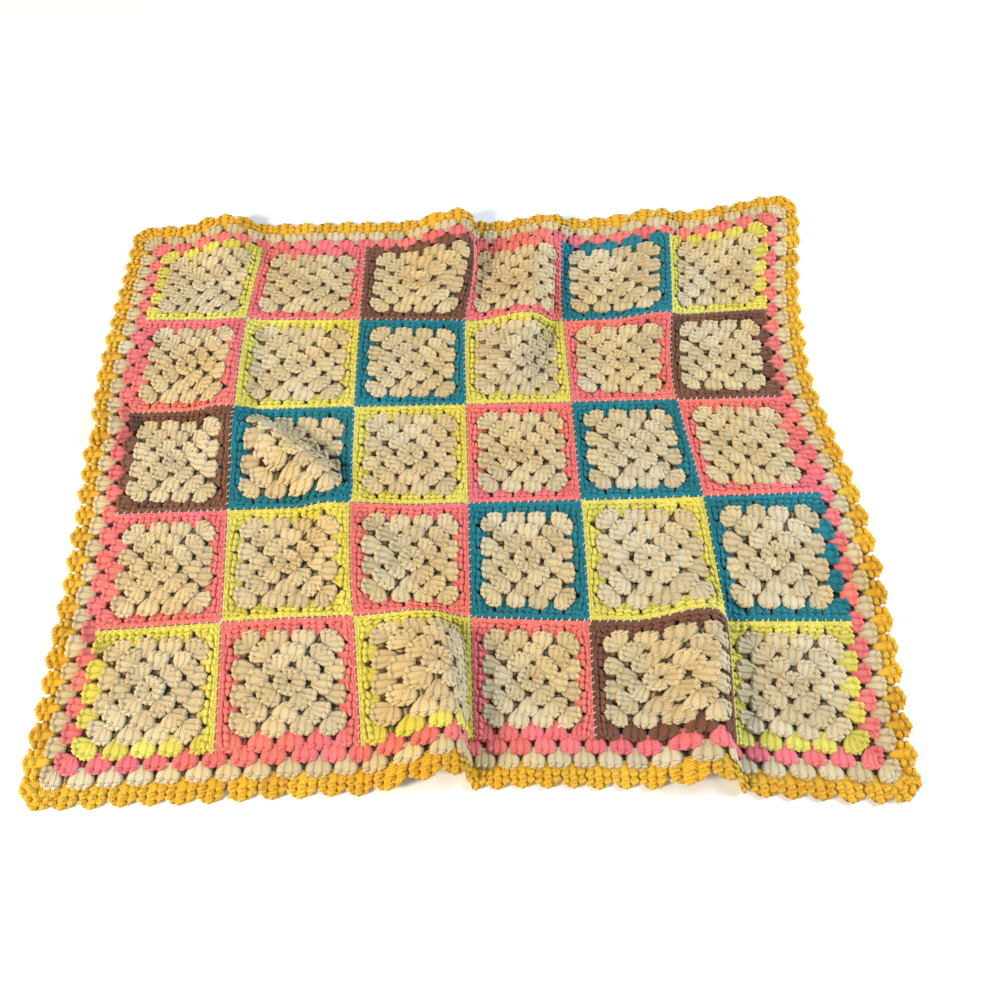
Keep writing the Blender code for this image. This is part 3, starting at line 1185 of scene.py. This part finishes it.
@dataclass(frozen=True)
class YarnFinish:
    """Soft plied yarn: its colours, ply twist and fuzz.

    A share or gain is how strongly one pattern counts in another.  The yarn is darkened with
    painted shade in its ply grooves, between its strands, underneath, at tucked bases and in
    hollows.
    """

    name: str
    lit: Triple
    dark_tone_and_shade: Triple
    tint: Triple
    tint_share: float = 0.75
    twist: float = 0.0030
    ply: float = 0.0021
    strand: float = 0.0071
    fuzz: float = 900.0
    patch: float = 7.0
    detail: float = 2.0
    patch_gain: float = 3.2
    line_hair: Pair = (1.2, 0.3)
    fine_share: float = 0.30
    # Painted shade in the ply grooves and along the lines between strands.
    groove_middle: float = 0.4
    groove_ply: float = 0.35
    groove_hair: float = 0.9
    groove_line: float = 0.55
    shade_groove: float = 0.38
    shade_tone: float = 0.32
    shade_depth: float = 0.62
    shade_drop: float = 0.17
    # Painted shade in the deepest hollows, nearly black.
    hollow_share: float = 0.20
    hollow_from: float = 0.62
    hollow_gain: float = 2.6
    relief_ply: float = 0.5
    relief_hair: float = 0.9
    relief_line: float = 1.6
    relief_strength: float = 0.7
    relief_depth: float = 0.0007
    roughness: float = 0.86
    roughness_hair: float = 0.12
    sheen: float = 0.12
    sheen_roughness: float = 0.5
    specular: float = 0.25

    def make(self) -> Material:
        """Build the yarn's material.

        Returns:
            The material, under the yarn's name.
        """
        bench = ShaderBench(self.name)
        place = bench.signal("ShaderNodeTexCoord", {}, {}, "Object")
        yarn_map = bench.signal("ShaderNodeUVMap", {"uv_map": "yarn"}, {}, "UV")
        parts = bench.node("ShaderNodeSeparateXYZ", {}, {"Vector": yarn_map})
        turn, run = (Signal(bench, parts.outputs[axis]) for axis in ("X", "Y"))
        ply = (turn * (2.0 * pi / self.ply) + run * (2.0 * pi / self.twist)).wave()
        line = (turn * (2.0 * pi / self.strand) - pi / 2.0).swing()
        fine = (turn * (4.0 * pi / self.strand) + pi / 2.0).swing()
        hair = bench.noise(place, self.fuzz, self.detail)
        hair_gain, hair_floor = self.line_hair
        line = line.cubed() * (hair * hair_gain + hair_floor) + fine.cubed() * self.fine_share
        patch = bench.noise(place, self.patch, self.detail)
        # Painted shade: grooves, strand lines, undersides and bases turn towards the dark colour,
        # mixed with random tone.
        tone, painted_shade = bench.attribute("tone"), bench.attribute("shade")
        painted_groove_shade = self.groove_middle - ply * self.groove_ply + (hair - 0.5) * self.groove_hair
        painted_groove_shade = (painted_groove_shade + line * self.groove_line).clamp()
        tint = ((patch - 0.5) * self.patch_gain + 0.5).clamp() * self.tint_share
        tinted = bench.blend(tint, (*self.lit, 1.0), (*self.tint, 1.0))
        shade = painted_groove_shade * self.shade_groove + tone * self.shade_tone + painted_shade * self.shade_depth
        soft = bench.blend((shade - self.shade_drop).clamp(), tinted, (*self.dark_tone_and_shade, 1.0))
        # Painted shade: the deepest hollows and the dark strands at the back of the spaces turn
        # nearly black.
        hollow_shade_colour = tuple(part * self.hollow_share for part in self.dark_tone_and_shade)
        hollow_shade_mask = ((painted_shade - self.hollow_from) * self.hollow_gain).clamp()
        relief = ply * self.relief_ply + hair * self.relief_hair - line * self.relief_line
        bump = {"Height": relief, "Strength": self.relief_strength, "Distance": self.relief_depth}
        rough = (hair - 0.5) * self.roughness_hair + self.roughness
        return bench.surface(
            {
                "Base Color": bench.blend(hollow_shade_mask, soft, (*hollow_shade_colour, 1.0)),
                "Roughness": rough.clamp(),
                "Normal": bench.signal("ShaderNodeBump", {}, bump, "Normal"),
                "Sheen Weight": self.sheen,
                "Sheen Roughness": self.sheen_roughness,
                "Specular IOR Level": self.specular,
            }
        )


@dataclass(frozen=True)
class YarnBox:
    """All the yarns: each one's lit colour, its dark colour for painted shade and dark tone, its
    tint colour, and the thread.
    """

    colours: tuple[tuple[Yarn, Triple, Triple, Triple], ...] = (
        (CREAM, (0.77, 0.58, 0.29), (0.32, 0.21, 0.08), (0.71, 0.66, 0.51)),
        (CORAL, (0.97, 0.25, 0.17), (0.44, 0.05, 0.05), (0.88, 0.20, 0.30)),
        (YELLOW, (0.84, 0.71, 0.10), (0.38, 0.27, 0.01), (0.80, 0.78, 0.20)),
        (TURQUOISE, (0.01, 0.21, 0.26), (0.0, 0.05, 0.07), (0.01, 0.27, 0.36)),
        (BROWN, (0.22, 0.085, 0.05), (0.045, 0.016, 0.01), (0.26, 0.11, 0.06)),
        (GOLD, (0.88, 0.47, 0.02), (0.40, 0.17, 0.008), (0.86, 0.56, 0.05)),
    )
    thread: YarnFinish = YarnFinish(
        "pale_thread", (0.80, 0.78, 0.72), (0.5, 0.46, 0.4), (0.84, 0.82, 0.78)
    )

    def make(self) -> dict[Yarn, Material]:
        """Build every yarn's material."""
        return {yarn: YarnFinish(yarn.value, *rest).make() for yarn, *rest in self.colours}


@dataclass(frozen=True)
class SoftLight:
    """One soft light that faces the blanket."""

    name: str
    spot: Triple
    size: float
    power: float
    colour: Triple

    def hang(self) -> None:
        """Add the light."""
        data = bpy.data.lights.new(self.name, "AREA")
        data.shape = "SQUARE"
        data.size = self.size
        data.energy = self.power
        data.color = self.colour
        light = bpy.data.objects.new(self.name, data)
        light.location = self.spot
        light.rotation_euler = (-Vector(self.spot)).to_track_quat("-Z", "Y").to_euler()
        bpy.context.collection.objects.link(light)


@dataclass(frozen=True)
class Studio:
    """Pale floor, soft light and the camera at the photograph's angle.

    The light is warm from the left and cool from the right.
    """

    azimuth: float = 2.33
    elevation: float = 66.25
    roll: float = 0.11
    distance: float = 0.922
    aim: Triple = (0.0394, -0.0518, 0.0)
    focal_pixels: float = 745.0
    image_pixels: float = 1000.0
    sensor: float = 36.0
    clip_start: float = 0.01
    floor_size: float = 12.0
    floor_colour: Triple = (0.93, 0.93, 0.93)
    floor_roughness: float = 0.9
    lights: tuple[SoftLight, ...] = (
        SoftLight("key", (-2.3, -0.9, 1.35), 0.6, 104.0, (1.0, 0.86, 0.64)),
        SoftLight("fill", (2.3, 0.4, 1.15), 1.2, 84.0, (0.76, 0.89, 1.0)),
    )
    sky_colour: Triple = (0.92, 0.96, 1.0)
    sky_strength: float = 0.40

    def place_camera(self) -> None:
        """Create the camera and make it the scene's."""
        azimuth, elevation, roll = map(radians, (self.azimuth, self.elevation, self.roll))
        ahead = Vector(
            (sin(azimuth) * cos(elevation), cos(azimuth) * cos(elevation), -sin(elevation))
        )
        level = Vector((cos(azimuth), -sin(azimuth), 0.0))
        upright = level.cross(ahead)
        right = level * cos(roll) + upright * sin(roll)
        up = upright * cos(roll) - level * sin(roll)
        spot = Vector(self.aim) - ahead * self.distance
        data = bpy.data.cameras.new("camera")
        data.sensor_width = self.sensor
        data.lens = self.focal_pixels / self.image_pixels * self.sensor
        data.clip_start = self.clip_start
        camera = bpy.data.objects.new("camera", data)
        turn = Matrix((right, up, -ahead)).transposed().to_4x4()
        camera.matrix_world = Matrix.Translation(spot) @ turn
        bpy.context.collection.objects.link(camera)
        bpy.context.scene.camera = camera

    def lay_floor(self) -> None:
        """Add the pale floor."""
        bpy.ops.object.select_all(action="DESELECT")
        bpy.ops.mesh.primitive_plane_add(size=self.floor_size, location=(0.0, 0.0, 0.0))
        floor = bpy.context.object
        floor.name = "floor"
        inputs = {"Base Color": (*self.floor_colour, 1.0), "Roughness": self.floor_roughness}
        floor.data.materials.append(ShaderBench("pale_floor").surface(inputs))

    def light(self) -> None:
        """Hang the lights and set the sky."""
        for light in self.lights:
            light.hang()
        world = bpy.data.worlds.new("sky")
        world.use_nodes = True
        shade = world.node_tree.nodes["Background"]
        shade.inputs["Color"].default_value = (*self.sky_colour, 1.0)
        shade.inputs["Strength"].default_value = self.sky_strength
        bpy.context.scene.world = world
        bpy.context.scene.view_settings.view_transform = "Standard"

    def build(self) -> None:
        """Set up floor, lights and camera."""
        self.lay_floor()
        self.light()
        self.place_camera()


def main() -> None:
    """Build the blanket piece by piece and set it in the studio."""
    logging.basicConfig(level=logging.INFO, format="%(message)s")
    drape = Drape()
    LOG.info("folds: %s", ", ".join(fold.where for fold in drape.folds))
    yarn_box = YarnBox()
    kit = StitchKit(drape, yarn_box.make())
    for row in range(ROWS):
        for column in range(COLUMNS):
            square = GrannySquare(row, column, LAYOUT[row][column], kit)
            square.dress()
            LOG.info("worked %s in %s", square.node, square.yarn.value)
    for side in Side:
        EdgeRound(side, 1, CORAL, "coral_round", kit).dress()
        EdgeRound(side, 2, CREAM, "cream_round", kit).dress()
        ShellRound(side, kit).dress()
        LOG.info("worked the edging's %s side", side.name.lower())
    Sewing(kit).dress(yarn_box.thread.make())
    LOG.info("sewed the squares")
    Studio().build()
    LOG.info("set up the studio")


if __name__ == "__main__":
    main()
